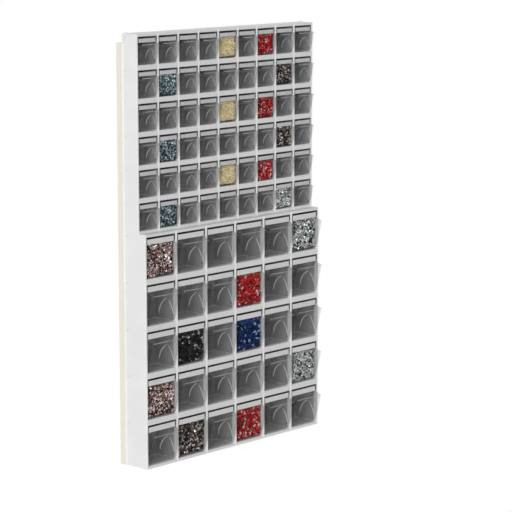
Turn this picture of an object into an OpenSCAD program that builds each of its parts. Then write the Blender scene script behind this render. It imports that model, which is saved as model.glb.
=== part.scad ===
// Wall rack of stacked magazines with tilt-out bins.
// Small magazines stand on large ones, all screwed to a board that hangs on the wall.
// The origin is on the wall, at the centre of the four screws that hold the rack there.
// The front faces -y and +z is up. Every bin turns outwards about a pin line along +x.

/* [Rack] */
// Width of every magazine
rack_w = 600; // [540:5:720]
// Thickness of the two outer walls of a magazine
side_wall_t = 4; // [3.6:0.2:6]
// Thickness of a magazine's back wall
back_wall_t = 2; // [1.6:0.2:4]
// Thickness of the shelves above and below the bins
shelf_t = 2.5; // [1.5:0.1:3]
// Thickness of the front skirts that close the space between two magazines
skirt_t = 2.5; // [1.5:0.1:4]

/* [Small magazines] */
// Number of small magazines
small_rows = 6; // [1:1:8]
// Bins in a small magazine
small_columns = 9; // [4:1:11]
// Height of a small magazine
small_h = 77; // [74:1:90]
// Depth of a small magazine
small_d = 48; // [44:1:60]
// Height of the opening's sill above the magazine's underside
small_sill_h = 5.5; // [3.5:0.5:8]
// Height of the rail above the opening
small_head_h = 6; // [4:0.5:9]
// Thickness of a divider
small_divider_t = 4.8; // [4.6:0.1:7]
// How far the lip stands in front of the magazine
small_lip_reach = 12; // [8:0.5:18]
// Drop from the top of the opening to the middle of the lip
small_lip_drop = 18.5; // [16:0.5:24]
// Height of the label panel
small_label_h = 11; // [9:0.5:12]
// Distance of the hinge behind the magazine's front
small_pivot_back = 8.5; // [8:0.5:12]
// Height of the hinge above the sill
small_pivot_up = 8.5; // [6.5:0.5:10]
// Radius of the curved back about the hinge
small_back_r = 30.5; // [26:0.5:32]
// Radius of the raised arch's front curve
small_arch_r = 41; // [38:1:50]
// Distance of the arch's front foot behind the magazine's front
small_arch_foot = 4.5; // [4:0.5:8]
// Height of the centre of the arch's front curve above the sill
small_arch_level = 4.5; // [2:0.5:6]
// Diameter of a hinge pin
small_pin_d = 3.9; // [3:0.1:5]

/* [Large magazines] */
// Number of large magazines
large_rows = 5; // [1:1:7]
// Bins in a large magazine
large_columns = 6; // [3:1:8]
// Height of a large magazine
large_h = 112; // [106:1:130]
// Depth of a large magazine
large_d = 71; // [68:1:90]
// Height of the opening's sill above the magazine's underside
large_sill_h = 7; // [4:0.5:12]
// Height of the rail above the opening
large_head_h = 6.5; // [4:0.5:12]
// Thickness of a divider
large_divider_t = 5.7; // [4.6:0.1:8]
// How far the lip stands in front of the magazine
large_lip_reach = 18; // [12:0.5:26]
// Drop from the top of the opening to the middle of the lip
large_lip_drop = 26; // [22:0.5:30]
// Height of the label panel
large_label_h = 14.5; // [12:0.5:17]
// Distance of the hinge behind the magazine's front
large_pivot_back = 12; // [11:0.5:16]
// Height of the hinge above the sill
large_pivot_up = 12; // [9:0.5:13]
// Radius of the curved back about the hinge
large_back_r = 45; // [38:0.5:50]
// Radius of the raised arch's front curve
large_arch_r = 62; // [55:1:70]
// Distance of the arch's front foot behind the magazine's front
large_arch_foot = 5.5; // [5:0.5:10]
// Height of the centre of the arch's front curve above the sill
large_arch_level = 6.5; // [3:0.5:9]
// Diameter of a hinge pin
large_pin_d = 4.9; // [4:0.1:6]

/* [Tilt bins] */
// Wall of a bin
bin_wall_t = 1.6; // [1.2:0.1:2.2]
// Clearance on each side of a bin
bin_side_gap = 0.7; // [0.4:0.1:1.2]
// Clearance over the label panel
bin_top_gap = 3.6; // [1:0.1:5]
// Clearance under a bin
bin_floor_gap = 0.3; // [0.3:0.05:0.6]
// Distance of the label panel behind the magazine's front
label_setback = 0.5; // [0:0.1:2]
// Depth of the pocket that takes the label card
label_pocket_depth = 0.5; // [0.2:0.1:0.8]
// Rim of the label panel round that pocket
label_rim = 0.6; // [0.5:0.1:2]
// How far the lip stands over the front face
lip_overhang = 2.2; // [1:0.1:4]
// Crown of the front face
front_bulge = 1.2; // [0.2:0.1:2]
// Angle above the hinge at which the curved back ends
rim_angle = 70; // [60:1:74]
// How far the arch stands out of the side wall
arch_proud = 0.5; // [0.2:0.1:0.8]
// Largest tilt
tilt_max = 45; // [30:1:50]
// How far the stop ridge under the heel stands out
stop_proud = 0.6; // [0.5:0.05:0.9]
// Arc that the stop ridge takes up
stop_arc = 5; // [3:1:8]

/* [Hinges] */
// Radial clearance of a pin in its socket
pin_fit = 0.06; // [0.03:0.01:0.1]
// Depth of a pin in its socket
pin_reach = 1.8; // [1.2:0.1:2]
// Depth of a socket in an outer wall
socket_depth = 2.6; // [2.4:0.1:3]

/* [Stacking] */
// Thickness of a stacking lug
lug_t = 2.4; // [1.6:0.1:2.6]
// Length of a stacking lug
lug_l = 9; // [6:0.5:12]
// Height of a stacking lug
lug_h = 2.6; // [1.5:0.1:3]
// Distance of the rear lugs from the back
lug_from_back = 5; // [3:0.5:8]
// Distance of the large magazines' front lugs from the front
lug_from_front = 8; // [4:0.5:11]
// Clearance of a lug in its pocket
lug_fit = 0.2; // [0.1:0.05:0.4]
// Radius of the ball that forms the dimples in the outer sides
dimple_r = 4; // [3:0.5:6]
// Depth of a dimple
dimple_depth = 0.8; // [0.4:0.1:1.2]
// Distance of a dimple from the back
dimple_from_back = 9; // [6:0.5:14]
// Distance of a dimple below the magazine's top
dimple_below_top = 8.5; // [6:0.5:14]

/* [Board] */
// How far the board stands out past the magazines on each side
board_margin = 4; // [0:0.5:40]
// Distance of the board's top edge below the top of the magazines
board_drop = 22; // [0:1:40]
// Thickness of the board
board_t = 16; // [15:1:22]
// Thickness of the edge bands
band_t = 1; // [0.4:0.1:2]

/* [Fixings] */
// Diameter of the holes for the wall screws
wall_hole_d = 5.5; // [4:0.5:8]
// Distance of the wall screws from the magazines' sides
wall_hole_in = 50; // [40:1:60]
// Height of the lower wall screws above the lowest magazine's sill
wall_hole_low = 33; // [12:0.5:60]
// Height of the upper wall screws above the highest magazine's sill
wall_hole_high = 9.5; // [8:0.5:30]
// Diameter of the screws that hold a magazine to the board
screw_d = 4; // [3:0.5:5]
// Length of those screws under the head
screw_l = 14; // [10:1:15]
// Diameter of a screw head
screw_head_d = 8; // [6:0.5:10]
// Height of a screw head
screw_head_h = 2.6; // [2:0.1:4]
// Width and depth of the cross in a screw head
screw_slot = 1; // [0.6:0.1:1.4]
// Clearance of a screw in the board
screw_fit = 0.05; // [0.02:0.01:0.1]
// Clearance of a screw in a magazine's back wall
screw_wall_gap = 0.3; // [0.2:0.05:0.6]

/* [Hidden] */
$fn = 48;
arc_steps = 8;
cut = 1;
bite = 0.3;
toe_gap = 0.05;
lip_pocket_side = 2.5;
screw_point = 0.6;

// Everything that differs between the two kinds of magazine.
function columns(k) = k == "large" ? large_columns : small_columns;
function mag_h(k) = k == "large" ? large_h : small_h;
function mag_d(k) = k == "large" ? large_d : small_d;
function sill(k) = k == "large" ? large_sill_h : small_sill_h;
function head(k) = k == "large" ? large_head_h : small_head_h;
function divider(k) = k == "large" ? large_divider_t : small_divider_t;
function reach(k) = k == "large" ? large_lip_reach : small_lip_reach;
function lip_drop(k) = k == "large" ? large_lip_drop : small_lip_drop;
function label_h(k) = k == "large" ? large_label_h : small_label_h;
function pivot(k) = k == "large" ? [large_pivot_back, large_pivot_up] : [small_pivot_back, small_pivot_up];
function back_r(k) = k == "large" ? large_back_r : small_back_r;
function arch_r(k) = k == "large" ? large_arch_r : small_arch_r;
function arch_centre(k) = k == "large" ? [large_arch_foot + large_arch_r, large_arch_level]
                                       : [small_arch_foot + small_arch_r, small_arch_level];
function pin_d(k) = k == "large" ? large_pin_d : small_pin_d;

// Heights above the underside, from which the frame's own heights follow.
stack_h = large_rows * large_h + small_rows * small_h;
low_holes = large_sill_h + wall_hole_low;
high_holes = stack_h - small_h + small_sill_h + wall_hole_high;
base_z = -(low_holes + high_holes) / 2;
board_w = rack_w + 2 * board_margin;
board_h = stack_h - board_drop;

// Places of magazines, cells and openings. Rows count from the top of each kind.
function row_z(k, row) = k == "large" ? base_z + (large_rows - row) * large_h
                                      : base_z + stack_h - row * small_h;
function front_y(k) = -board_t - mag_d(k);
function cell_w(k) = (rack_w - 2 * side_wall_t - (columns(k) - 1) * divider(k)) / columns(k);
function cell_x(k, c) = -rack_w / 2 + side_wall_t + (c - 1) * (cell_w(k) + divider(k));
function open_h(k) = mag_h(k) - sill(k) - head(k);
function bin_w(k) = cell_w(k) - 2 * bin_side_gap;

// A bin's outline, as [distance behind the magazine's front, height above the sill].
function arc(c, r, a0, a1) =
    [for (i = [0:arc_steps]) let (a = a0 + (a1 - a0) * i / arc_steps) c + r * [cos(a), sin(a)]];
function heel_r(k) = pivot(k)[1] - bin_floor_gap;
function label_top(k) = open_h(k) - bin_top_gap;
function label_foot(k) = label_top(k) - label_h(k);
function lip_level(k) = open_h(k) - lip_drop(k);
function ledge_slope(k) =
    (label_foot(k) - lip_level(k) - bin_wall_t / 2) / (label_setback + reach(k));
function ledge_under(k, s) = lip_level(k) - bin_wall_t / 2 + (s + reach(k)) * ledge_slope(k);
function face_top(k) =
    let (s = lip_overhang - reach(k)) [s, ledge_under(k, s)];
// Angle about the hinge at which the front face runs into the round heel.
function heel_angle(k) =
    let (v = face_top(k) - pivot(k)) atan2(v[1], v[0]) + acos(heel_r(k) / norm(v));
// The front face from the lip to the heel, set in by t.
function front_face(k, t) =
    let (a = heel_angle(k), out = [cos(a), sin(a)], low = pivot(k) + (heel_r(k) - t) * out,
         high = face_top(k) - t * out, up = (high - low) / norm(high - low),
         more = t == 0 ? 0 : (ledge_under(k, high[0]) - high[1]) / (up[1] - ledge_slope(k) * up[0]),
         top = high + more * up)
    [for (i = [0:arc_steps]) let (u = i / arc_steps)
        top + (low - top) * u + out * front_bulge * 4 * u * (1 - u)];
// The ridge under the heel meets the sill when the bin is tilted all the way.
function stop_r(k) = pivot(k)[1] + stop_proud - bin_floor_gap;
function stop_angle(k) = 180 + asin((pivot(k)[1] - toe_gap) / stop_r(k)) - tilt_max;
function heel(k) =
    let (p = pivot(k), e = stop_angle(k), b = e - stop_arc)
    concat(arc(p, heel_r(k), heel_angle(k), b),
           [p + stop_r(k) * [cos(b), sin(b)], p + stop_r(k) * [cos(e), sin(e)]],
           arc(p, heel_r(k), e, 270));
function curved_back(k, t) =
    let (r = back_r(k) - t) arc(pivot(k), r, -asin((heel_r(k) - t) / r), rim_angle);
function lip_tip(k) = arc([bin_wall_t / 2 - reach(k), lip_level(k)], bin_wall_t / 2, 90, 270);
function bin_outline(k) =
    concat(heel(k), curved_back(k, 0),
           [[label_setback + bin_wall_t, label_top(k)], [label_setback, label_top(k)],
            [label_setback, label_foot(k)]],
           lip_tip(k), front_face(k, 0));
function bin_inside(k, t) =
    let (high = label_top(k) + back_r(k))
    concat(arc(pivot(k), heel_r(k) - t, heel_angle(k), 270), curved_back(k, t),
           [pivot(k) + (back_r(k) + high) * [cos(rim_angle), sin(rim_angle)],
            [label_setback + t, 2 * high], [label_setback + t, ledge_under(k, label_setback + t)]],
           front_face(k, t));

// Turns an outline of [depth, height] into a solid that is w wide along x.
module across(w) {
    rotate([90, 0, 90]) linear_extrude(w) children();
}

// The raised arch on one side wall of a bin.
module arch(k) {
    across(arch_proud + bite) intersection() {
        polygon(bin_inside(k, bin_wall_t - bite));
        translate(pivot(k)) circle(back_r(k) - bin_wall_t + bite);
        translate(arch_centre(k)) circle(arch_r(k));
    }
}

module hinge_pins(k) {
    out = bin_side_gap + pin_reach;
    for (x = [-out, bin_w(k) - bite])
        translate([x, pivot(k)[0], pivot(k)[1]]) rotate([0, 90, 0]) cylinder(d = pin_d(k), h = out + bite);
}

module bin_shell(k) {
    w = bin_w(k);
    difference() {
        across(w) polygon(bin_outline(k));
        translate([bin_wall_t, 0, 0]) across(w - 2 * bin_wall_t) polygon(bin_inside(k, bin_wall_t));
        translate([lip_pocket_side, label_setback - cut, label_foot(k) + label_rim])
            cube([w - 2 * lip_pocket_side, cut + label_pocket_depth, label_h(k) - 2 * label_rim]);
    }
}

module tilt_bin(k) {
    union() {
        bin_shell(k);
        translate([bin_wall_t - bite, 0, 0]) arch(k);
        translate([bin_w(k) - bin_wall_t - arch_proud, 0, 0]) arch(k);
        hinge_pins(k);
    }
}

// The bins from column first to column last, in their places.
module bins(k, row, first, last) {
    color([0.72, 0.74, 0.76, 0.5])
        for (c = [first:last])
            translate([cell_x(k, c) + bin_side_gap, front_y(k), row_z(k, row) + sill(k)]) tilt_bin(k);
}

module large_bin(row, c) {
    bins("large", row, c, c);
}

// The left and the right half of a small magazine's bins.
module small_bins_left(row) {
    bins("small", row, 1, ceil(small_columns / 2));
}

module small_bins_right(row) {
    bins("small", row, ceil(small_columns / 2) + 1, small_columns);
}

// One space of a magazine that is open at the front.
module cell(k) {
    translate([0, -cut, sill(k)]) cube([cell_w(k), cut + mag_d(k) - back_wall_t, open_h(k)]);
}

// The flat spaces under the lower shelf and, except on the topmost of each kind, over the upper one.
module shelf_spaces(k, row) {
    w = rack_w - 2 * side_wall_t;
    deep = mag_d(k) - skirt_t - back_wall_t;
    translate([-w / 2, skirt_t, -cut]) cube([w, deep, cut + sill(k) - shelf_t]);
    if (row > 1)
        translate([-w / 2, skirt_t, mag_h(k) - head(k) + shelf_t]) cube([w, deep, cut + head(k) - shelf_t]);
}

// Sockets for the hinge pins: through every divider, and blind in the outer walls.
module pin_sockets(k) {
    r = pin_d(k) / 2 + pin_fit;
    w = rack_w - 2 * side_wall_t + 2 * socket_depth;
    translate([-w / 2, pivot(k)[0], sill(k) + pivot(k)[1]]) rotate([0, 90, 0]) cylinder(r = r, h = w);
}

// Front ends of the lugs along the depth: a rear pair, and a front pair between two large magazines.
function rear_lug(k) = mag_d(k) - lug_from_back - lug_l;
function lugs_on_top(k, row) = k == "large" && row > 1 ? [rear_lug(k), lug_from_front] : [rear_lug(k)];
function pockets_below(k) = k == "large" ? [rear_lug(k), lug_from_front] : [rear_lug(k)];

// Lugs in the middle of both outer walls, grown by a clearance for the pockets.
module lugs(places, gap, h) {
    for (side = [-1, 1], y = places)
        translate([side * (rack_w - side_wall_t) / 2 - lug_t / 2 - gap, y - gap, 0])
            cube([lug_t + 2 * gap, lug_l + 2 * gap, h]);
}

module dimples(k) {
    for (side = [-1, 1])
        translate([side * (rack_w / 2 + dimple_r - dimple_depth), mag_d(k) - dimple_from_back,
                   mag_h(k) - dimple_below_top]) sphere(dimple_r);
}

// Two screws hold each magazine to the board, in the middle of the second bins from the sides.
function screw_x(k) = cell_x(k, columns(k) - 1) + cell_w(k) / 2;

module screw_holes(k) {
    for (side = [-1, 1])
        translate([side * screw_x(k), mag_d(k) + cut, mag_h(k) / 2]) rotate([90, 0, 0])
            cylinder(d = screw_d + 2 * screw_wall_gap, h = back_wall_t + 2 * cut);
}

// The four wall screws pass through the lowest and the highest magazine and the board.
module wall_holes() {
    for (side = [-1, 1], z = [base_z + low_holes, base_z + high_holes])
        translate([side * (rack_w / 2 - wall_hole_in), cut, z]) rotate([90, 0, 0])
            cylinder(d = wall_hole_d, h = board_t + back_wall_t + 2 * cut);
}

module housing(k, row) {
    color([0.8, 0.8, 0.8])
    difference() {
        translate([0, front_y(k), row_z(k, row)]) difference() {
            union() {
                translate([-rack_w / 2, 0, 0]) cube([rack_w, mag_d(k), mag_h(k)]);
                translate([0, 0, mag_h(k) - bite]) lugs(lugs_on_top(k, row), 0, lug_h + bite);
            }
            for (c = [1:columns(k)]) translate([cell_x(k, c), 0, 0]) cell(k);
            shelf_spaces(k, row);
            pin_sockets(k);
            translate([0, 0, -cut]) lugs(pockets_below(k), lug_fit, cut + lug_h + lug_fit);
            dimples(k);
            screw_holes(k);
        }
        wall_holes();
    }
}

module large_housing(row) {
    housing("large", row);
}

module small_housing(row) {
    housing("small", row);
}

// Places of the magazines' screws as [x, z].
screw_places = concat(
    [for (side = [-1, 1], row = [1:large_rows]) [side * screw_x("large"), row_z("large", row) + large_h / 2]],
    [for (side = [-1, 1], row = [1:small_rows]) [side * screw_x("small"), row_z("small", row) + small_h / 2]]);

module wall_board() {
    color([0.93, 0.93, 0.92])
    difference() {
        translate([band_t - board_w / 2, -board_t, base_z + band_t])
            cube([board_w - 2 * band_t, board_t, board_h - 2 * band_t]);
        for (p = screw_places)
            translate([p[0], -board_t - cut, p[1]]) rotate([-90, 0, 0])
                cylinder(d = screw_d + 2 * screw_fit, h = cut + screw_l - back_wall_t + screw_point);
        wall_holes();
    }
}

module edge_bands() {
    color([0.93, 0.91, 0.85]) {
        for (x = [-board_w / 2, board_w / 2 - band_t])
            translate([x, -board_t, base_z]) cube([band_t, board_t, board_h]);
        for (z = [base_z, base_z + board_h - band_t])
            translate([band_t - board_w / 2, -board_t, z]) cube([board_w - 2 * band_t, board_t, band_t]);
    }
}

// A round-headed screw along +y, with its head's seat at y = 0.
module screw() {
    difference() {
        union() {
            rotate([-90, 0, 0]) cylinder(d = screw_d, h = screw_l);
            rotate([90, 0, 0]) intersection() {
                cylinder(d = screw_head_d, h = screw_head_h);
                translate([0, 0, screw_head_h - screw_head_d]) sphere(screw_head_d);
            }
        }
        for (turn = [0, 90])
            rotate([0, turn, 0]) translate([-screw_head_d / 4, -screw_head_h - cut, -screw_slot / 2])
                cube([screw_head_d / 2, cut + screw_slot, screw_slot]);
    }
}

module housing_screws() {
    color([0.75, 0.76, 0.78])
        for (p = screw_places)
            translate([p[0], -board_t - back_wall_t, p[1]]) screw();
}

wall_board();
edge_bands();
housing_screws();
for (row = [1:small_rows]) {
    small_housing(row);
    small_bins_left(row);
    small_bins_right(row);
}
for (row = [1:large_rows]) {
    large_housing(row);
    for (c = [1:large_columns])
        large_bin(row, c);
}
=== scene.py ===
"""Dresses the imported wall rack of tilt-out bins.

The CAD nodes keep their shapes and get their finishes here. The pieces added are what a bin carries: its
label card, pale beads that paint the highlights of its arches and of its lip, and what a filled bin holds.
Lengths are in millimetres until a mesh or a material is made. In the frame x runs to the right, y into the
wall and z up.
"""

import itertools
import math
import random

import bpy
import numpy as np
from mathutils import Matrix, Vector


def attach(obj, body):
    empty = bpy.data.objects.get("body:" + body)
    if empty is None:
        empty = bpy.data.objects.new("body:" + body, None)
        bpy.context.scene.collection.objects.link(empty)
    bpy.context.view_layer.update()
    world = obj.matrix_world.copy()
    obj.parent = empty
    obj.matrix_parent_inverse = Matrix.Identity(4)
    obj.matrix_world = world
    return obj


MM = 0.001

# The photograph's camera: place and clipping in metres, angles in degrees, lens and sensor in millimetres.
CAMERA_PLACE = (-3.605, -3.583, 0.853)
CAMERA_YAW = 46.446
CAMERA_PITCH = -9.934
CAMERA_LENS = 148.14
CAMERA_SENSOR = 36
CAMERA_CLIP = (0.05, 200)

# The floor's height and half its side, in metres.
FLOOR_LEVEL = -1.7
FLOOR_HALF = 40

# The world's light, and the one lamp: where it stands, its strength and how wide it is in degrees.
WORLD_LEVEL = 0.42
KEY_DIRECTION = (-0.84, -0.39, 0.30)
KEY_STRENGTH = 1.95
KEY_SPREAD = 40

# Rays pass through many clear walls that lie behind each other.
CLEAR_WALLS = 32

# Sizes of the rack and of its two kinds of magazine, as in the CAD.
RACK_W = 600
SIDE_WALL = 4
BOARD_T = 16
BASE = -500
BIN_WALL = 1.6
SIDE_GAP = 0.7
FLOOR_GAP = 0.3
TOP_GAP = 3.6
LABEL_SETBACK = 0.5
LABEL_RIM = 0.6
POCKET_DEPTH = 0.5
POCKET_SIDE = 2.5
KINDS = {
    "large": dict(rows=5, columns=6, height=112, depth=71, sill=7, head=6.5, divider=5.7, reach=18,
                  lip_drop=26, label_h=14.5, pivot=(12, 12), back_r=45, arch_r=62,
                  arch_centre=(67.5, 6.5)),
    "small": dict(rows=6, columns=9, height=77, depth=48, sill=5.5, head=6, divider=4.8, reach=12,
                  lip_drop=18.5, label_h=11, pivot=(8.5, 8.5), back_r=30.5, arch_r=41,
                  arch_centre=(45.5, 4.5)),
}
# The top of a bin's front face lies this far behind and over the edge of its lip.
FACE_TOP = (2.2, -0.2)
# The small bins in these columns ride on the left half rows.
LEFT_COLUMNS = range(1, 6)

# Rounding of the housings' and the board's edges, where these turn by over so many degrees.
EDGE_ROUNDING = 0.45
EDGE_ANGLE = 50

# Noise seldom leaves this range.
NOISE_RANGE = (0.3, 0.7)
# A surface faces along an axis where its normal's part along it is over this.
FACING = 0.7

# Greys of the housings' plastic, each from its darkest to its palest flow mark.
HOUSING_GREYS = {
    "outside": ((0.765, 0.765, 0.765), (0.80, 0.80, 0.797)),
    # A painted highlight: the divider fronts are paler, as if they caught the light.
    "divider_front_highlight": ((0.93, 0.93, 0.93), (0.97, 0.97, 0.967)),
    # Painted shade in the sunk marks.
    "dimple": (0.62, 0.66),
    # Painted light: the inside floor is a little paler than the outside.
    "floor": (0.78, 0.82),
    # Painted shade behind the label panels.
    "behind_label_shade": (0.035, 0.05),
}
# Painted shade where little light comes: its darkest greys inside the magazines and on the dividers beside
# the label panels, and how much paler the flow marks get there.
INSIDE_PAINTED_SHADE = {"large": 0.38, "small": 0.43}
BESIDE_LABEL_PAINTED_SHADE = {"large": 0.15, "small": 0.23}
FLOW_CONTRAST = 0.04
# The painted shade inside begins this far behind the front, where the light stops reaching the dividers; its
# edge starts and ends this far around that.
LIT_DEPTH = {"large": 8, "small": 5}
LIT_EDGE = (-1, 3)
# The shade behind a label panel grows over these depths behind the front, and over these shares of the
# panel's height above its foot. It reaches lower by the slope for each millimetre of depth.
LABEL_SHADE_DEPTH = (0.3, 1.3)
LABEL_SHADE_HEIGHT = (-0.1, 0.5)
LABEL_SHADE_SLOPE = 0.26
# The painted highlight on a divider's front: how far it reaches back, and its soft flanks across the divider
# and along the depth.
HIGHLIGHT_DEPTH = 1.2
HIGHLIGHT_FLANKS = (0.2, 0.4)
# A zone of the finish starts or ends this far off a face that has to lie clearly on one side of its edge.
ZONE_SPARE = 1
# The sunk marks on the outer sides, darkened by a painted shade: distance from the board and from the
# magazine's top, and radius.
DIMPLE_PLACE = (9, 8.5)
DIMPLE_R = 2.4

# Tints of the clear plastic, each from its darkest to its palest flow mark.
BIN_TINTS = {
    "clear": ((0.975, 0.975, 0.976), (0.985, 0.985, 0.985)),
    # Painted shade: the darker tints deep inside and on the side walls darken what shows through them.
    "deep_shade": ((0.94, 0.94, 0.942), (0.955, 0.955, 0.956)),
    "side": ((0.91, 0.91, 0.912), (0.925, 0.925, 0.926)),
    "cheek": ((0.85, 0.85, 0.852), (0.87, 0.87, 0.872)),
}
# How far behind the front the clear tint turns to the darker one that paints shade deep inside.
CLEAR_DEPTH = {"large": 9, "small": 6}
# The share of gloss in the clear plastic, seen straight and at a slant, and how suddenly it rises.
GLOSS_SHARE = (0.004, 0.3)
GLOSS_POWER = 4

# The white beads that paint highlights along the curved back and along the arch: their radii, the arcs that
# they follow in degrees and the steps along them.
LINE_THICK = {"large": (1.5, 0.55), "small": (1.3, 0.3)}
BACK_LINE = (2, 68)
ARCH_LINE = (172, 108)
LINE_STEPS = 24
# At its ends a line has this share of its radius, and its section has this many sides.
LINE_ENDS = 0.25
BEAD_SIDES = 8
# The lines' distances from the side walls and from the curved back.
LINE_INSET = 0.35
LINE_BACK_INSET = 0.5
# The radius of the grey bead that paints a highlight along the lip, and its distance from the cheeks.
LIP_LINE_R = 0.5
LIP_LINE_INSET = 1.5

# The label cards: thickness, bow, width and height of a cut corner, steps across, and the gaps around them
# and behind them.
CARD_T = 0.3
CARD_BOW = 0.12
CARD_CORNER = 0.7
CARD_CUT = 0.6 * CARD_CORNER
CARD_STEPS = 12
CARD_GAP = 0.12
CARD_PLAY = 0.02
# They are cut short, and lie at the lower left of their pockets.
CARD_SHORT = {"large": 1.6, "small": 1.0}
CARD_LOW = {"large": 0.8, "small": 0.5}
CARD_GREY = {"large": 0.75, "small": 0.61}
CARD_CONTRAST = 0.03

# Where the contents begin behind the front, and how far they stay from the side walls.
FILL_DEPTH = {"large": 5, "small": 3.5}
FILL_GAP = 0.2
# The small bins hold smaller parts.
PART_SCALE = {"large": 1.0, "small": 0.78}
# The parts stand on a grid with steps of this share of their size, and are moved by this share of a step.
PART_STEP = 0.58
PART_SHIFT = 0.4
# They keep this share of their size from the walls, and are left out this many steps deep in the heap.
PART_ROOM = 0.14
HEAP_STEPS = 1.25
# The room from a part's middle to the walls counts as this much less, and never as under the least.
ROOM_SPARE = 0.1
ROOM_LEAST = 0.2
# A part that reaches over so many rooms is shrunk to reach one, but at least this share of its size.
PART_OVERREACH = 1.6
PART_SMALLEST = 0.3
# The heap's top in front and the grid's top, over the label panel's foot.
HEAP_OVER_LABEL = 1.5
GRID_OVER_LABEL = 2
# The heap's top behind, over the pins, as a share of the curved back's radius.
HEAP_BACK = 0.9
# In a large bin the heap is level over this depth, and falls over the next.
HEAP_LEVEL = 9
HEAP_FALL = 26
# The heap's core stays this share of a part's size inside it. Its outline has this many points.
CORE_MARGIN = 0.3
CORE_POINTS = 40
# The core's middle lies this far behind the pins, and over them by this share of the curved back's radius.
CORE_BEHIND = 2
CORE_OVER = 0.45
# The outline is found in steps of this length.
CORE_STEP = 0.5

# What the filled bins hold: (row, column) of the bin to the filling's name.
FILLED = {
    "small": {(1, 5): "dowels", (3, 5): "dowels", (5, 5): "dowels",
              (1, 7): "red_plugs", (3, 7): "red_plugs", (5, 7): "red_plugs",
              (2, 2): "blue_screws", (4, 2): "blue_screws", (6, 2): "blue_screws",
              (2, 8): "brown_nuts", (4, 8): "brown_nuts", (6, 8): "zinc_screws"},
    "large": {(1, 1): "copper_screws", (4, 1): "copper_screws", (1, 6): "steel_nuts", (4, 6): "steel_nuts",
              (2, 4): "red_plugs", (5, 4): "red_plugs", (3, 2): "black_screws", (3, 4): "blue_rings",
              (5, 2): "brown_nuts"},
}

# Turned parts of size 1: radius, half length, number of sides, whether the outline closes round a hole, and
# the outline in shares of the radius and of the half length.
TURNED_PARTS = {
    "dowel": (0.2, 0.62, 6, False, [(0.75, -1), (1, -0.88), (1, 0.88), (0.75, 1)]),
    "screw": (0.15, 0.6, 5, False, [(0.2, -1), (1, -0.75), (1, 0.65), (2.3, 0.75), (2.3, 0.95), (1, 1)]),
    "plug": (0.22, 0.5, 6, False, [(0.5, -1), (0.9, -0.7), (1, 0.8), (1.4, 0.85), (1.4, 1), (0.6, 1)]),
    "nut": (0.42, 0.19, 6, True, [(0.45, -1), (1, -0.9), (1, 0.9), (0.45, 1)]),
}
# A ring of size 1: radius, half thickness, and numbers of sides around and in the section.
RING = (0.38, 0.16, 9, 4)

# Each filling: the parts in it, their size, the shares of its colours, metallic, roughness and how dark the
# painted shade between the parts gets. The near-white shares of the red, brown, black and blue parts and the
# pale blue share of the blue rings are painted glints, and the near-black shares of the steel, zinc, copper,
# red and blue parts are painted shade.
FILLINGS = {
    "dowels": (["dowel"], 7.5,
               [(0.4, (1.0, 0.86, 0.52)), (0.35, (1.0, 0.93, 0.63)), (0.25, (0.92, 0.74, 0.43))],
               0.0, 0.5, 0.72),
    "red_plugs": (["plug", "ring"], 8.0,
                  [(0.45, (0.8, 0.008, 0.01)), (0.22, (0.5, 0.004, 0.006)), (0.12, (1.0, 0.16, 0.15)),
                   (0.1, (1.0, 0.9, 0.87)), (0.11, (0.05, 0.01, 0.01))],
                  0.0, 0.2, 0.2),
    "blue_screws": (["screw", "nut"], 7.0,
                    [(0.22, (0.36, 0.58, 0.66)), (0.3, (0.88, 1.0, 1.0)), (0.28, (0.015, 0.05, 0.07)),
                     (0.2, (0.12, 0.2, 0.22))],
                    0.8, 0.22, 0.06),
    "brown_nuts": (["nut", "screw"], 7.0,
                   [(0.5, (0.025, 0.018, 0.015)), (0.2, (1.0, 0.95, 0.92)), (0.16, (0.11, 0.085, 0.07)),
                    (0.14, (0.5, 0.4, 0.35))],
                   0.8, 0.22, 0.05),
    "zinc_screws": (["screw", "nut"], 7.0,
                    [(0.35, (0.9, 0.98, 0.94)), (0.45, (0.97, 1.0, 0.98)), (0.2, (0.05, 0.09, 0.07))],
                    0.9, 0.2, 0.12),
    "copper_screws": (["screw", "nut"], 7.5,
                      [(0.25, (0.22, 0.09, 0.085)), (0.15, (0.6, 0.36, 0.33)), (0.4, (1.0, 0.87, 0.84)),
                       (0.2, (0.03, 0.012, 0.012))],
                      0.9, 0.2, 0.1),
    "steel_nuts": (["nut", "screw"], 7.0,
                   [(0.25, (0.9, 0.97, 0.94)), (0.5, (0.98, 1.0, 0.99)), (0.2, (0.03, 0.05, 0.04)),
                    (0.05, (0.36, 0.42, 0.40))],
                   0.9, 0.2, 0.06),
    "black_screws": (["screw", "ring"], 8.0,
                     [(0.72, (0.008, 0.008, 0.01)), (0.18, (0.05, 0.05, 0.055)), (0.1, (0.9, 0.9, 0.92))],
                     0.3, 0.3, 0.1),
    "blue_rings": (["ring", "plug"], 8.0,
                   [(0.45, (0.001, 0.018, 0.14)), (0.3, (0.002, 0.075, 0.38)), (0.17, (0.001, 0.003, 0.008)),
                    (0.08, (0.5, 0.78, 1.0))],
                   0.0, 0.25, 0.15),
}

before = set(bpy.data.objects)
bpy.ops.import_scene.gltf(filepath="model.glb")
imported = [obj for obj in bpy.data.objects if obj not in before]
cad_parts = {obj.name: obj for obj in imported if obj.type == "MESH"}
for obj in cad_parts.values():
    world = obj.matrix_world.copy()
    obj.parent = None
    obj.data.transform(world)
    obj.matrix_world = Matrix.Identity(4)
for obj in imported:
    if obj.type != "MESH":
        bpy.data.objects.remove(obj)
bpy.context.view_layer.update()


# Places

def first_row(kind):
    """Foot of a kind's lowest magazine over the frame's origin."""
    return BASE + (0 if kind == "large" else KINDS["large"]["rows"] * KINDS["large"]["height"])


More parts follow.
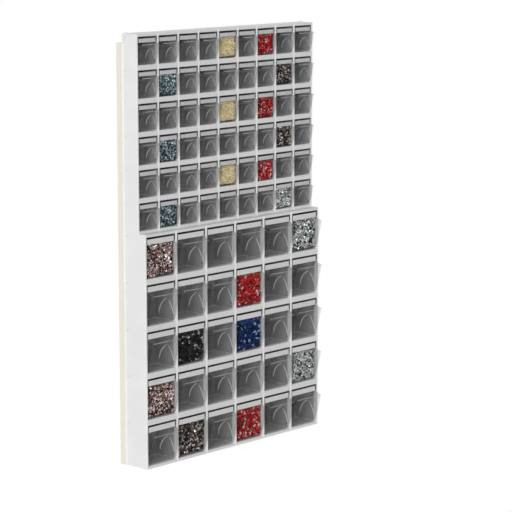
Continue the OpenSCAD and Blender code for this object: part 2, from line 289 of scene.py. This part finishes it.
def cell_width(kind):
    k = KINDS[kind]
    return (RACK_W - 2 * SIDE_WALL - (k["columns"] - 1) * k["divider"]) / k["columns"]


def circle(sides):
    """Cosine and sine at even steps round a circle."""
    return [(math.cos(a), math.sin(a)) for a in (2 * math.pi * i / sides for i in range(sides))]


def arc(centre, radius, start, end):
    """Points on a circle from one angle to another, in degrees."""
    angles = [math.radians(start + (end - start) * i / LINE_STEPS) for i in range(LINE_STEPS + 1)]
    return [centre + radius * Vector((math.cos(a), math.sin(a))) for a in angles]


class Bin:
    """Where one bin stands, and the outline of its inside.

    s is the depth behind the magazine's front, and h is the height above its sill.
    """

    def __init__(self, kind, row, column):
        k = KINDS[kind]
        self.kind = kind
        self.row = row
        self.column = column
        self.w = cell_width(kind) - 2 * SIDE_GAP
        self.x0 = -RACK_W / 2 + SIDE_WALL + (column - 1) * (cell_width(kind) + k["divider"]) + SIDE_GAP
        self.front = -BOARD_T - k["depth"]
        self.sill = first_row(kind) + (k["rows"] - row) * k["height"] + k["sill"]
        self.pivot = Vector(k["pivot"])
        self.heel_r = k["pivot"][1] - FLOOR_GAP
        self.back_r = k["back_r"]
        self.arch_r = k["arch_r"]
        self.arch_centre = Vector(k["arch_centre"])
        open_h = k["height"] - k["sill"] - k["head"]
        self.label_top = open_h - TOP_GAP
        self.label_foot = self.label_top - k["label_h"]
        self.lip = Vector((-k["reach"], open_h - k["lip_drop"]))
        self.scale = k["back_r"] / KINDS["large"]["back_r"]

    @property
    def body(self):
        if self.kind == "large":
            return f"large_bin_{self.row}_{self.column}_body"
        return f"small_bins_{self.row}_{'left' if self.column in LEFT_COLUMNS else 'right'}_row"

    def point(self, x, s, h):
        """A point x to the right of the bin's left side, in metres in the frame."""
        return Vector((self.x0 + x, self.front + s, self.sill + h)) * MM

    def front_normal(self):
        """Angle about the pins at which the front face runs into the round heel."""
        v = self.lip + Vector(FACE_TOP) - self.pivot
        return math.atan2(v.y, v.x) + math.acos(self.heel_r / v.length)

    def depth_inside(self, s, h):
        """How far inside the bin's walls a point lies; below 0 it is outside."""
        p = Vector((s, h)) - self.pivot
        a = self.front_normal()
        reaches = [self.heel_r - BIN_WALL - (p.x * math.cos(a) + p.y * math.sin(a)), h - FLOOR_GAP - BIN_WALL]
        if p.x > 0:
            reaches.append(self.back_r - BIN_WALL - p.length)
        if p.x < 0 and p.y < 0:
            reaches.append(self.heel_r - BIN_WALL - p.length)
        return min(reaches)

    def depth_in_heap(self, s, h, heap):
        """How far behind the front and under the top of what the bin holds a point lies."""
        return min(s - FILL_DEPTH[self.kind], heap(s) - h)


def all_bins():
    for kind, k in KINDS.items():
        for row in range(1, k["rows"] + 1):
            for column in range(1, k["columns"] + 1):
                yield Bin(kind, row, column)


# Materials

class Nodes:
    """The node tree of a material or a world, built up in small steps."""

    def __init__(self, owner):
        owner.use_nodes = True
        self.tree = owner.node_tree
        self.tree.nodes.clear()

    def node(self, kind, **values):
        n = self.tree.nodes.new(kind)
        for key, value in values.items():
            setattr(n, key, value)
        return n

    def link(self, a, b):
        self.tree.links.new(a, b)

    def math(self, operation, a, b=None):
        """One step of arithmetic; a and b are sockets or numbers."""
        n = self.node("ShaderNodeMath", operation=operation)
        for socket, v in zip(n.inputs, (a, b)):
            if isinstance(v, (int, float)):
                socket.default_value = v
            elif v is not None:
                self.link(v, socket)
        return n.outputs["Value"]

    def all_of(self, *masks):
        """The product of several masks."""
        result = masks[0]
        for mask in masks[1:]:
            result = self.math("MULTIPLY", result, mask)
        return result

    def mix_shaders(self, fac, first, second):
        """The first shader where fac is 0 and the second where it is 1."""
        n = self.node("ShaderNodeMixShader")
        for source, socket in zip((fac, first, second), n.inputs):
            self.link(source, socket)
        return n.outputs["Shader"]

    def seen_as_white(self, shader, white):
        """White for camera, mirrored and transmitted rays, and the shader for the light that falls."""
        rays = self.node("ShaderNodeLightPath").outputs
        seen = rays["Is Camera Ray"]
        for kind in ("Is Transmission Ray", "Is Glossy Ray"):
            seen = self.math("MAXIMUM", seen, rays[kind])
        return self.mix_shaders(seen, shader, white)


class Finish(Nodes):
    """A procedural material, laid out by each point's place in the frame at rest."""

    def __init__(self, name):
        self.mat = bpy.data.materials.new(name)
        super().__init__(self.mat)
        self.out = self.node("ShaderNodeOutputMaterial")
        coordinates = self.node("ShaderNodeTexCoord").outputs
        self.place = coordinates["Object"]
        self.normal = coordinates["Normal"]

    def noise(self, scale, detail=2.0, stretch=(1, 1, 1), seed=0.0):
        """Noise whose features are 1/scale metres, stretched along the axes."""
        m = self.node("ShaderNodeMapping")
        m.inputs["Scale"].default_value = stretch
        m.inputs["Location"].default_value = (seed, seed, seed)
        self.link(self.place, m.inputs["Vector"])
        n = self.node("ShaderNodeTexNoise")
        n.inputs["Scale"].default_value = scale
        n.inputs["Detail"].default_value = detail
        self.link(m.outputs["Vector"], n.inputs["Vector"])
        return n.outputs["Fac"]

    def ramp(self, fac, stops, interpolation="LINEAR"):
        """Colours along fac: stops are (position, colour) or (position, grey value)."""
        n = self.node("ShaderNodeValToRGB")
        n.color_ramp.interpolation = interpolation
        points = n.color_ramp.elements
        while len(points) < len(stops):
            points.new(1)
        for e, (at, colour) in zip(points, stops):
            e.position = at
            e.color = (*colour, 1) if isinstance(colour, tuple) else (colour, colour, colour, 1)
        self.link(fac, n.inputs["Fac"])
        return n.outputs["Color"]

    def shades(self, noise, low, high):
        """Colours or greys from low to high by a noise."""
        return self.ramp(noise, list(zip(NOISE_RANGE, (low, high))))

    def brought(self, v, before, after=(0, 1)):
        """A value from one range brought to another, and held at its ends."""
        n = self.node("ShaderNodeMapRange")
        for side, ends in (("From", before), ("To", after)):
            n.inputs[side + " Min"].default_value = ends[0]
            n.inputs[side + " Max"].default_value = ends[1]
        self.link(v, n.inputs["Value"])
        return n.outputs["Result"]

    def value(self, noise, low, high):
        """A value from low to high by a noise."""
        return self.brought(noise, NOISE_RANGE, (low, high))

    def rise(self, v, start, end):
        """0 up to start and 1 from end on, and even steps between."""
        return self.brought(v, (start, end))

    def band(self, v, low, high, soft):
        """1 where v lies between low and high, 0 elsewhere, with soft flanks."""
        return self.all_of(self.rise(v, low - soft, low), self.rise(v, high + soft, high))

    def part(self, vector, axis):
        """A vector's part along one axis."""
        n = self.node("ShaderNodeSeparateXYZ")
        self.link(vector, n.inputs["Vector"])
        return n.outputs[axis]

    def faces_sideways(self):
        """1 where the surface faces to the left or the right."""
        return self.math("GREATER_THAN", self.math("ABSOLUTE", self.part(self.normal, "X")), FACING)

    def blend(self, fac, a, b):
        """Colour a where fac is 0 and b where it is 1."""
        n = self.colour_mix(a, b, "MIX")
        self.link(fac, n.inputs["Factor"])
        return n.outputs[2]

    def multiply(self, a, b):
        """Colour a times colour b."""
        n = self.colour_mix(a, b, "MULTIPLY")
        n.inputs["Factor"].default_value = 1
        return n.outputs[2]

    def colour_mix(self, a, b, blend_type):
        """A mix node for colours: its inputs 6 and 7 and its output 2 are the colours."""
        n = self.node("ShaderNodeMix", data_type="RGBA", blend_type=blend_type)
        self.link(a, n.inputs[6])
        self.link(b, n.inputs[7])
        return n

    def bump(self, height, strength, distance):
        n = self.node("ShaderNodeBump")
        n.inputs["Strength"].default_value = strength
        n.inputs["Distance"].default_value = distance
        self.link(height, n.inputs["Height"])
        return n.outputs["Normal"]

    def principled(self, colour, roughness, normal=None, metallic=0.0, specular=0.5):
        n = self.node("ShaderNodeBsdfPrincipled")
        self.link(colour, n.inputs["Base Color"])
        self.link(roughness, n.inputs["Roughness"])
        n.inputs["Metallic"].default_value = metallic
        n.inputs["Specular IOR Level"].default_value = specular
        if normal is not None:
            self.link(normal, n.inputs["Normal"])
        return n.outputs["BSDF"]

    def finish(self, shader):
        self.link(shader, self.out.inputs["Surface"])
        return self.mat


def moulded_plastic(kind):
    """Light grey housing plastic with a fine spark-eroded skin and faint flow marks.

    The dividers' fronts get a painted highlight and the sunk marks a painted shade. The inside gets painted
    shade, deepest behind and above the label panels, and a little painted light on its floor.
    """
    f = Finish(kind + "_housing_plastic")
    k = KINDS[kind]
    skin = f.noise(1600, 3)
    flow = f.noise(9, 3, stretch=(1, 1, 3))
    greys = {zone: f.shades(flow, *pair) for zone, pair in HOUSING_GREYS.items()}
    for zone, dim in (("inside", INSIDE_PAINTED_SHADE[kind]), ("beside_label_shade", BESIDE_LABEL_PAINTED_SHADE[kind])):
        greys[zone] = f.shades(flow, dim, dim + FLOW_CONTRAST)

    x, y, z = (f.part(f.place, axis) for axis in "XYZ")
    front = -(BOARD_T + k["depth"]) * MM
    from_divider = f.math("ADD", x, (RACK_W / 2 - SIDE_WALL + k["divider"]) * MM)
    in_column = f.math("FLOORED_MODULO", from_divider, (cell_width(kind) + k["divider"]) * MM)
    in_row = f.math("FLOORED_MODULO", f.math("SUBTRACT", z, first_row(kind) * MM), k["height"] * MM)
    # Where the painted highlight on the divider fronts goes.
    flank_across, flank_deep = HIGHLIGHT_FLANKS
    on_divider = f.band(in_column, -ZONE_SPARE * MM, k["divider"] * MM, flank_across * MM)
    in_front = f.band(y, front - ZONE_SPARE * MM, front + HIGHLIGHT_DEPTH * MM, flank_deep * MM)
    # Where the painted light of the inside floor goes.
    on_floor = f.math("LESS_THAN", in_row, (k["sill"] + ZONE_SPARE) * MM)
    within = f.all_of(f.math("LESS_THAN", f.math("ABSOLUTE", x), (RACK_W / 2 - ZONE_SPARE) * MM),
                      f.math("LESS_THAN", f.part(f.normal, "Y"), FACING))
    # Where the painted shade inside begins.
    unlit = f.rise(y, *(front + (LIT_DEPTH[kind] + edge) * MM for edge in LIT_EDGE))

    label_foot = k["height"] - k["head"] - TOP_GAP - k["label_h"]
    slope = f.math("MULTIPLY", f.math("SUBTRACT", y, front), LABEL_SHADE_SLOPE)
    over_label_foot = f.rise(f.math("ADD", in_row, slope),
                             *((label_foot + share * k["label_h"]) * MM for share in LABEL_SHADE_HEIGHT))
    behind_panel = f.rise(y, *(front + depth * MM for depth in LABEL_SHADE_DEPTH))

    # Painted shade in the sunk marks.
    outside = f.blend(dimples(f, kind, y, in_row), greys["outside"], greys["dimple"])
    # Inside: painted shade, with a little painted light on the floor.
    inside = f.blend(on_floor, greys["inside"], greys["floor"])
    # Painted shade behind the label panels, paler on the dividers beside them.
    shade_around_label = f.blend(f.faces_sideways(), greys["behind_label_shade"], greys["beside_label_shade"])
    colour = f.blend(f.all_of(unlit, within), outside, inside)
    colour = f.blend(f.all_of(behind_panel, over_label_foot, within), colour, shade_around_label)
    # A painted highlight on the divider fronts.
    colour = f.blend(f.all_of(on_divider, in_front), colour, greys["divider_front_highlight"])
    roughness = f.value(f.noise(60, 2), 0.38, 0.5)
    return f.finish(f.principled(colour, roughness, f.bump(skin, 0.12, 0.2 * MM), specular=0.4))


def dimples(f, kind, y, in_row):
    """1 in the small sunk marks of the outer sides, 0 elsewhere."""
    back, top = DIMPLE_PLACE
    along = f.math("ADD", y, (BOARD_T + back) * MM)
    up = f.math("SUBTRACT", in_row, (KINDS[kind]["height"] - top) * MM)
    squares = [f.math("MULTIPLY", v, v) for v in (along, up)]
    return f.math("LESS_THAN", f.math("SQRT", f.math("ADD", *squares)), DIMPLE_R * MM)


def melamine():
    """White facing of the board: a faint pearl structure in a satin skin."""
    f = Finish("board_melamine")
    pearl = f.noise(700, 4)
    colour = f.shades(f.noise(14, 4), (0.965, 0.965, 0.955), (0.99, 0.99, 0.98))
    return f.finish(f.principled(colour, f.value(pearl, 0.35, 0.5), f.bump(pearl, 0.1, 0.3 * MM)))


def edge_band():
    """Cream plastic band: faint lengthwise drawing marks."""
    f = Finish("cream_band")
    drawn = f.noise(500, 2, stretch=(1, 1, 0.02))
    colour = f.shades(drawn, (0.78, 0.74, 0.64), (0.84, 0.80, 0.71))
    return f.finish(f.principled(colour, f.value(drawn, 0.4, 0.55), f.bump(drawn, 0.1, 0.2 * MM)))


def zinc():
    """Zinc-plated screw: bright metal with a slightly cloudy plating."""
    f = Finish("zinc_plated_steel")
    cloud = f.noise(350, 4)
    colour = f.ramp(cloud, [(0.35, (0.52, 0.54, 0.57)), (0.65, (0.70, 0.71, 0.72))])
    roughness = f.value(cloud, 0.25, 0.42)
    return f.finish(f.principled(colour, roughness, f.bump(cloud, 0.1, 0.2 * MM), metallic=1.0))


def clear_plastic(kind):
    """Clear plastic: quite clear in front, with darker tints that paint shade deep inside and on the side
    walls, and darker cheeks beside the lip.
    """
    f = Finish(kind + "_bin_plastic")
    front = -(BOARD_T + KINDS[kind]["depth"]) * MM
    flow = f.noise(45, 2, stretch=(1, 1, 2.5))
    tints = {zone: f.shades(flow, *pair) for zone, pair in BIN_TINTS.items()}
    y = f.part(f.place, "Y")
    depth = f.rise(y, front, front + CLEAR_DEPTH[kind] * MM)
    sideways = f.faces_sideways()
    cheeks = f.all_of(sideways, f.math("LESS_THAN", y, front))
    # The darker tints deep inside and on the side walls are painted shade.
    walls = f.blend(sideways, f.blend(depth, tints["clear"], tints["deep_shade"]), tints["side"])
    tint = f.node("ShaderNodeBsdfTransparent")
    f.link(f.blend(cheeks, walls, tints["cheek"]), tint.inputs["Color"])
    gloss = f.principled(f.shades(flow, 0.22, 0.3), f.value(f.noise(90, 2), 0.06, 0.13), specular=0.6)
    slant = f.node("ShaderNodeLayerWeight")
    slant.inputs["Blend"].default_value = 0.5
    share = f.brought(f.math("POWER", slant.outputs["Facing"], GLOSS_POWER), (0, 1), GLOSS_SHARE)
    return f.finish(f.mix_shaders(share, tint.outputs["BSDF"], gloss))


def highlight_bead(name, greys, roughness, specular):
    """A pale bead on an edge of the clear plastic, which paints the edge's highlight."""
    f = Finish(name)
    cloud = f.noise(200, 2)
    return f.finish(f.principled(f.shades(cloud, *greys), f.value(cloud, *roughness), specular=specular))


def paper(kind, grey):
    """Label card: uncoated card with fibres and a little waviness."""
    f = Finish(kind + "_label_card")
    fibre = f.noise(1200, 5, stretch=(0.3, 1, 1))
    colour = f.shades(f.noise(30, 3), grey - CARD_CONTRAST, grey + CARD_CONTRAST)
    roughness = f.value(fibre, 0.7, 0.85)
    return f.finish(f.principled(colour, roughness, f.bump(fibre, 0.2, 0.2 * MM), specular=0.2))


def mixed_parts(name, colours, metallic, roughness, painted_shade_level):
    """Loose parts: each island takes one of the colours by its share, and noise patches darken them as
    painted shade between the parts.
    """
    f = Finish(name)
    island = f.node("ShaderNodeNewGeometry").outputs["Random Per Island"]
    total = 0.0
    stops = []
    for share, colour in colours:
        stops.append((min(total, 0.999), colour))
        total += share
    scratch = f.noise(900, 3)
    # Noise patches that darken the parts: painted shade between them.
    gap_shade = f.ramp(f.noise(270, 3), [(0.36, painted_shade_level), (0.44, 0.4 + 0.4 * painted_shade_level), (0.5, 1.0)])
    patch_shade = f.ramp(f.noise(70, 2, seed=3), [(0.38, 0.65 + 0.35 * painted_shade_level), (0.55, 1.0)])
    colour = f.multiply(f.multiply(f.ramp(island, stops, "CONSTANT"), gap_shade), patch_shade)
    return f.finish(f.principled(colour, f.value(scratch, roughness, roughness + 0.15),
                                 f.bump(scratch, 0.15, 0.3 * MM), metallic=metallic, specular=0.12))


def heap_core(name, colours, painted_shade_level):
    """What shows between loose parts, deep inside a heap: the parts' mean colour, darkened in small patches
    as painted shade.
    """
    f = Finish(name + "_core")
    grain = f.noise(190, 1)
    mean = tuple(sum(share * c[i] for share, c in colours) for i in range(3))
    levels = ((0.42, max(0.05, 0.5 * painted_shade_level)), (0.5, 0.5), (0.6, 1.0))
    stops = [(at, tuple(min(1.0, level * v) for v in mean)) for at, level in levels]
    roughness = f.value(grain, 0.7, 0.9)
    return f.finish(f.principled(f.ramp(grain, stops), roughness, f.bump(grain, 0.6, 1 * MM), specular=0.1))


# Meshes

class Mesh:
    """Collects vertices and faces of several solids."""

    def __init__(self):
        self.verts = []
        self.faces = []

    def add(self, verts, faces):
        n = len(self.verts)
        self.verts += [tuple(v) for v in verts]
        self.faces += [tuple(i + n for i in f) for f in faces]


def make_object(name, shape, materials, body, face_material=None, smooth=False):
    """A piece from a Mesh, riding on a body."""
    mesh = bpy.data.meshes.new(name)
    mesh.from_pydata(shape.verts, [], shape.faces)
    for m in materials:
        mesh.materials.append(m)
    if face_material is not None:
        mesh.polygons.foreach_set("material_index", face_material)
    if smooth:
        mesh.polygons.foreach_set("use_smooth", [True] * len(mesh.polygons))
    mesh.update()
    obj = bpy.data.objects.new(name, mesh)
    bpy.context.scene.collection.objects.link(obj)
    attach(obj, body)
    return obj


def tube_faces(rings, sides, closed=False):
    """Faces between rings of vertices, with caps unless the last ring joins the first."""
    faces = []
    for ring in range(rings if closed else rings - 1):
        here = ring * sides
        there = (ring + 1) % rings * sides
        for i in range(sides):
            following = (i + 1) % sides
            faces.append((here + i, here + following, there + following, there + i))
    if not closed:
        faces += [tuple(reversed(range(sides))), tuple(range((rings - 1) * sides, rings * sides))]
    return faces


def loose_part(name, size):
    """Vertices and faces of one loose part, turned about z."""
    if name == "ring":
        radius, thick, sides, section = RING
        closed = True
        outline = [(radius * size + thick * size * c, thick * size * s) for c, s in circle(section)]
    else:
        radius, half_length, sides, closed, shares = TURNED_PARTS[name]
        outline = [(across * (radius * size), along * (half_length * size)) for across, along in shares]
    verts = [(r * c, r * s, z) for r, z in outline for c, s in circle(sides)]
    return np.array(verts), tube_faces(len(outline), sides, closed)


def heap_top(b):
    """The heap's height over the sill along the depth: it falls from the label to the curved back's rim."""
    front = b.label_foot + HEAP_OVER_LABEL
    back = b.pivot.y + HEAP_BACK * b.back_r

    def height(s):
        fallen = max(0.0, (s - HEAP_LEVEL * b.scale) / (HEAP_FALL * b.scale))
        return min(front, front + (back - front) * fallen)

    return height


def fill_bin(b, filling, material, core):
    """Loose parts on the front and the top of a heap, over a core that closes it."""
    names, size = FILLINGS[filling][:2]
    size *= PART_SCALE[b.kind]
    templates = [loose_part(name, size) for name in names]
    rng = random.Random(1000 * b.row + 10 * b.column + (b.kind == "large"))
    heap = heap_top(b)
    step = PART_STEP * size
    side = BIN_WALL + FILL_GAP
    front = FILL_DEPTH[b.kind]
    grid = (b.w - 2 * side, b.pivot.x + b.back_r - front, b.label_foot + GRID_OVER_LABEL)
    mesh = Mesh()
    for cell in itertools.product(*(range(int(length / step) + 1) for length in grid)):
        x, s, h = (start + (i + 0.5 + rng.uniform(-PART_SHIFT, PART_SHIFT)) * step
                   for start, i in zip((side, front, 0), cell))
        tilt = [rng.uniform(-math.pi, math.pi) for _ in range(3)]
        verts, faces = templates[rng.randrange(len(templates))]
        inside = min(b.depth_inside(s, h), x - side, b.w - side - x)
        seen = b.depth_in_heap(s, h, heap)
        if inside < PART_ROOM * size or not 0 < seen < HEAP_STEPS * step:
            continue
        about_x, about_y, about_z = (Matrix.Rotation(a, 3, axis) for a, axis in zip(tilt, "XYZ"))
        placed = verts @ np.array(about_x @ about_y @ about_z).T
        reach = np.abs(placed).max()
        room = max(inside - ROOM_SPARE, ROOM_LEAST)
        if reach > PART_OVERREACH * room:
            placed *= max(room, PART_SMALLEST * size) / reach
        mesh.add(placed * MM + np.array(b.point(x, s, h)), faces)
    parts = len(mesh.faces)
    margin = CORE_MARGIN * size
    outline = core_outline(b, heap, margin)
    mesh.add([b.point(x, s, h) for x in (side + margin, b.w - side - margin) for s, h in outline],
             tube_faces(2, len(outline)))
    index = [0] * parts + [1] * (len(mesh.faces) - parts)
    return make_object(f"contents_{b.kind}_{b.row}_{b.column}", mesh, [material, core], b.body, index)


def core_outline(b, heap, margin):
    """Outline of the heap's core, found along rays from its middle."""
    centre = Vector((b.pivot.x + CORE_BEHIND, b.pivot.y + CORE_OVER * b.back_r))
    outline = []
    for c, s in circle(CORE_POINTS):
        reach = 0.0
        while True:
            further = (centre.x + (reach + CORE_STEP) * c, centre.y + (reach + CORE_STEP) * s)
            if min(b.depth_inside(*further), b.depth_in_heap(*further, heap)) <= margin:
                break
            reach += CORE_STEP
        outline.append((centre.x + reach * c, centre.y + reach * s))
    return outline


def label_card(mesh, b):
    """A card in the pocket of the label panel, with cut corners and a slight bow."""
    left = POCKET_SIDE + CARD_GAP
    right = b.w - POCKET_SIDE - CARD_GAP - CARD_SHORT[b.kind]
    foot = b.label_foot + LABEL_RIM + CARD_GAP
    top = b.label_top - LABEL_RIM - CARD_LOW[b.kind]
    back = LABEL_SETBACK + POCKET_DEPTH - CARD_PLAY
    straight = right - left - 2 * CARD_CORNER
    xs = [left, left + CARD_CORNER]
    xs += [left + CARD_CORNER + straight * i / CARD_STEPS for i in range(1, CARD_STEPS)]
    xs += [right - CARD_CORNER, right]
    verts = []
    for depth in (0, CARD_T):
        for x in xs:
            u = (x - left) / (right - left)
            cut = CARD_CUT if x in (left, right) else 0
            s = back - depth - CARD_BOW * 4 * u * (1 - u)
            verts += [b.point(x, s, foot + cut), b.point(x, s, top - cut)]
    n = len(xs)
    faces = []
    for a in range(0, 2 * (n - 1), 2):
        c = a + 2 * n
        faces += [(a, a + 2, a + 3, a + 1), (c, c + 1, c + 3, c + 2)]
        faces += [(a, c, c + 2, a + 2), (a + 1, a + 3, c + 3, c + 1)]
    last = 2 * (n - 1)
    faces += [(0, 1, 2 * n + 1, 2 * n), (last, last + 2 * n, last + 2 * n + 1, last + 1)]
    mesh.add(verts, faces)


def bead(mesh, b, x, points, radii):
    """A round bead along points of depth and height, at x across the bin."""
    verts = []
    for i, (p, r) in enumerate(zip(points, radii)):
        along = (points[min(i + 1, len(points) - 1)] - points[max(i - 1, 0)]).normalized()
        out = Vector((-along.y, along.x))
        verts += [b.point(x + r * c, p.x + r * s * out.x, p.y + r * s * out.y)
                  for c, s in circle(BEAD_SIDES)]
    mesh.add(verts, tube_faces(len(points), BEAD_SIDES))


def mould_line_highlights(mesh, b):
    """Pale beads that paint highlights on the two curves of each side wall: along the curved back, and along
    the front of the arch.
    """
    r_back = b.back_r - BIN_WALL - LINE_BACK_INSET
    back = arc(b.pivot, r_back, *BACK_LINE)
    arch = [p for p in arc(b.arch_centre, b.arch_r, *ARCH_LINE) if (p - b.pivot).length < r_back]
    for points, thick in zip((back, arch), LINE_THICK[b.kind]):
        last = len(points) - 1
        radii = [thick * (LINE_ENDS + (1 - LINE_ENDS) * math.sin(math.pi * i / last) ** 0.5)
                 for i in range(last + 1)]
        for x in (BIN_WALL + LINE_INSET, b.w - BIN_WALL - LINE_INSET):
            bead(mesh, b, x, points, radii)


def lip_highlight_bead(mesh, b):
    """A grey bead that paints a highlight on the finger lip's rim, between the cheeks."""
    inset = BIN_WALL + LIP_LINE_INSET
    verts = [b.point(x, b.lip.x + BIN_WALL / 2 + LIP_LINE_R * c, b.lip.y + LIP_LINE_R * s)
             for x in (inset, b.w - inset) for c, s in circle(BEAD_SIDES)]
    mesh.add(verts, tube_faces(2, BEAD_SIDES))


# The object

def finish_of(node):
    fixed = {"wall_board": "board", "edge_bands": "bands", "housing_screws": "screws"}
    return fixed.get(node) or "_".join(node.split("_")[:2]).replace("bins", "bin")


finishes = {"board": melamine(), "bands": edge_band(), "screws": zinc()}
for kind in KINDS:
    finishes[kind + "_housing"] = moulded_plastic(kind)
    finishes[kind + "_bin"] = clear_plastic(kind)

for name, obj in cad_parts.items():
    obj.data.materials.clear()
    obj.data.materials.append(finishes[finish_of(name)])
    if finish_of(name) in ("large_housing", "small_housing", "board"):
        bevel = obj.modifiers.new("rounded_edges", "BEVEL")
        bevel.width = EDGE_ROUNDING * MM
        bevel.segments = 2
        bevel.limit_method = "ANGLE"
        bevel.angle_limit = math.radians(EDGE_ANGLE)

# Pale beads that paint the highlights along the arch curves and the lip.
line = highlight_bead("mould_line_highlight", (0.95, 0.99), (0.15, 0.25), 1.0)
# A grey bead that paints the lip's highlight.
rim = highlight_bead("lip_rim_highlight", (0.50, 0.58), (0.3, 0.4), 0.3)
card = {kind: paper(kind, grey) for kind, grey in CARD_GREY.items()}
fillings = {name: (mixed_parts(name, *look), heap_core(name, look[0], look[-1]))
            for name, (_, _, *look) in FILLINGS.items()}

by_body = {}
for b in all_bins():
    by_body.setdefault(b.body, []).append(b)
for body, group in by_body.items():
    cards = Mesh()
    lines = Mesh()
    rims = Mesh()
    for b in group:
        label_card(cards, b)
        mould_line_highlights(lines, b)
        held = FILLED[b.kind].get((b.row, b.column))
        if held:
            fill_bin(b, held, *fillings[held])
        else:
            lip_highlight_bead(rims, b)
    make_object("label_cards_" + body, cards, [card[group[0].kind]], body)
    make_object("mould_line_highlights_" + body, lines, [line], body, smooth=True)
    if rims.faces:
        make_object("lip_rim_highlights_" + body, rims, [rim], body, smooth=True)


# Floor, light and camera

def make_floor():
    f = Finish("pale_floor")
    grain = f.noise(3, 3)
    shader = f.principled(f.shades(grain, 0.78, 0.82), f.value(grain, 0.7, 0.8), specular=0.1)
    white = f.node("ShaderNodeEmission").outputs["Emission"]
    mesh = bpy.data.meshes.new("floor")
    corners = [(x * FLOOR_HALF, y * FLOOR_HALF, FLOOR_LEVEL) for x, y in ((-1, -1), (1, -1), (1, 1), (-1, 1))]
    mesh.from_pydata(corners, [], [(0, 1, 2, 3)])
    mesh.materials.append(f.finish(f.seen_as_white(shader, white)))
    floor = bpy.data.objects.new("floor", mesh)
    bpy.context.scene.collection.objects.link(floor)


def make_world():
    world = bpy.data.worlds.new("studio")
    sky = Nodes(world)
    out = sky.node("ShaderNodeOutputWorld")
    lights = []
    for strength in (WORLD_LEVEL, 1):
        n = sky.node("ShaderNodeBackground")
        n.inputs["Color"].default_value = (1, 1, 1, 1)
        n.inputs["Strength"].default_value = strength
        lights.append(n.outputs["Background"])
    sky.link(sky.seen_as_white(*lights), out.inputs["Surface"])
    bpy.context.scene.world = world


def make_key_light():
    """A soft lamp that shines from the left, a little from the front and from above."""
    lamp = bpy.data.lights.new("key", "SUN")
    lamp.energy = KEY_STRENGTH
    lamp.angle = math.radians(KEY_SPREAD)
    obj = bpy.data.objects.new("key", lamp)
    obj.rotation_mode = "QUATERNION"
    obj.rotation_quaternion = Vector(KEY_DIRECTION).to_track_quat("Z", "Y")
    bpy.context.scene.collection.objects.link(obj)


def make_camera():
    yaw = math.radians(CAMERA_YAW)
    pitch = math.radians(CAMERA_PITCH)
    ahead = Vector((math.sin(yaw) * math.cos(pitch), math.cos(yaw) * math.cos(pitch), math.sin(pitch)))
    data = bpy.data.cameras.new("camera")
    data.lens = CAMERA_LENS
    data.sensor_width = CAMERA_SENSOR
    data.sensor_fit = "AUTO"
    data.clip_start, data.clip_end = CAMERA_CLIP
    camera = bpy.data.objects.new("camera", data)
    camera.location = CAMERA_PLACE
    camera.rotation_mode = "QUATERNION"
    camera.rotation_quaternion = ahead.to_track_quat("-Z", "Y")
    bpy.context.scene.collection.objects.link(camera)
    bpy.context.scene.camera = camera


make_floor()
make_world()
make_key_light()
make_camera()
bpy.context.scene.cycles.transparent_max_bounces = CLEAR_WALLS
bpy.context.scene.view_settings.view_transform = "Standard"
